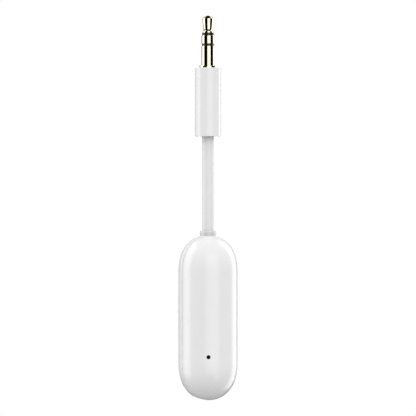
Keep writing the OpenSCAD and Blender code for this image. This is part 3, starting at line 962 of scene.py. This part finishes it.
def make_lens():
    """Clear light pipe with a slightly domed face, flush with the back."""
    face = front_surface(0, LED_Z)
    section = fillet([
        (0, face), (PIPE_R * 0.5, face - 0.008, 0.2), (PIPE_R, face - 0.06, 0.06),
        (PIPE_R, PIPE_FLANGE_Y[1]), (PIPE_FLANGE_R, PIPE_FLANGE_Y[1]),
        (PIPE_FLANGE_R, PIPE_FLANGE_Y[0]), (PIPE_R, PIPE_FLANGE_Y[0]), (PIPE_R, PIPE_FOOT, 0.05),
        (0, PIPE_FOOT),
    ])
    bm = lathe(section, 64, closed=False)
    for vertex in bm.verts:
        x, y, z = vertex.co
        vertex.co = (-x, z, y + LED_Z * MM)
    crisp(make_piece("lens", bm, "clear_plastic", "light_pipe"))


def make_boot():
    """Rubber boot of the microphone, its snout just under the cover's surface."""
    mesh_r, mesh_y = MESH_POCKET
    pocket_r, pocket_y = CAPSULE_POCKET
    section = fillet([
        (SOUND_HOLE_R, SNOUT_END, 0.04), (SOUND_HOLE_R, -mesh_y), (mesh_r, -mesh_y),
        (mesh_r, -pocket_y), (pocket_r, -pocket_y), (pocket_r, -BOOT_Y[1]),
        (BOOT_R, -BOOT_Y[1], 0.1), (BOOT_R, -BOOT_Y[0], 0.15), (SNOUT_R, -BOOT_Y[0]),
        (SNOUT_R, SNOUT_END, 0.06),
    ])
    bm = lathe(section, 64)
    for vertex in bm.verts:
        x, y, z = vertex.co
        vertex.co = (x + MIC_X * MM, -z, y + MIC_Z * MM)
    crisp(make_piece("boot", bm, "black_rubber", "microphone_boot"))


def make_socket():
    """Folded sheet shell of the charging socket, with its flared mouth."""
    mouth, back = USB_Z
    outside = [(back, 0.0), (mouth + 0.55, 0.0), (mouth + 0.3, 0.015), (mouth + 0.12, 0.05),
               (mouth, 0.11)]
    inside = [(mouth, 0.15), *reversed(outside[:-1])]
    bm = bmesh.new()
    rings = []
    for grow, corner, levels in ((0.0, 0.32, outside), (-USB_SHEET, 0.16, inside)):
        base = polygon_outline(usb_corners(grow, corner))
        for z, flare in levels:
            rings.append([bm.verts.new(Vector((u + nu * flare, v + nv * flare, z)) * MM)
                          for u, v, nu, nv in base])
    total = len(rings[0])
    for low, high in zip(rings, rings[1:] + rings[:1]):
        for k in range(total):
            n = (k + 1) % total
            bm.faces.new((low[k], low[n], high[n], high[k]))
    bmesh.ops.recalc_face_normals(bm, faces=bm.faces)
    shade_smooth(bm.faces)
    for side in (-1, 1):
        tab = zip(sorted(side * x for x in USB_TAB_X), USB_TAB_Y, USB_TAB_Z)
        add_box(bm, *tab)
    crisp(make_piece("socket", bm, "bright_metal", "usb_shell"))


# ---- Carried-over nodes and the floor ----

FLOOR_R = 1.2
FLOOR_Z = -0.2


def dress_nodes():
    for node in nodes.values():
        for slot in node.material_slots:
            slot.material = materials[slot.material.name.split(".")[0]]
    for name, width in (("usb_insulator", 0.06), ("usb_contacts", 0.03),
                        ("plug_inner_sleeve", 0.08)):
        bevel = nodes[name].modifiers.new("soft_edges", "BEVEL")
        bevel.width = width * MM
        bevel.segments = 2
        bevel.limit_method = "ANGLE"
        bevel.angle_limit = math.radians(40)


def make_floor():
    """Pale round floor well below the object, lit but not lighting, and clear from below."""
    bm = bmesh.new()
    bmesh.ops.create_circle(bm, cap_ends=True, segments=96, radius=FLOOR_R)
    mesh = drop_into_mesh(bm, "floor")
    floor = link_object("floor", mesh)
    floor.location.z = FLOOR_Z
    floor.visible_diffuse = False
    floor.visible_glossy = False
    floor.visible_transmission = False
    pale = grained("pale_floor", (0.83, 0.83, 0.83), (0.84, 0.84, 0.84), (0.8, 0.9), 4, 40)
    mesh.materials.append(pale)
    g = pale.node_tree
    output = next(n for n in g.nodes if n.bl_idname == "ShaderNodeOutputMaterial")
    from_below = g.nodes.new("ShaderNodeMixShader")
    g.links.new(g.nodes.new("ShaderNodeNewGeometry").outputs["Backfacing"], from_below.inputs[0])
    g.links.new(output.inputs[0].links[0].from_socket, from_below.inputs[1])
    g.links.new(g.nodes.new("ShaderNodeBsdfTransparent").outputs[0], from_below.inputs[2])
    g.links.new(from_below.outputs[0], output.inputs[0])


materials = make_materials()
cable = make_cable()
cable.data.materials.append(materials["white_cable"])
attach(cable, "receiver")
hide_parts("cable_jacket")
make_light()
make_plug()
make_gland()
make_shells()
make_button()
make_lens()
make_boot()
make_socket()
dress_nodes()
make_floor()
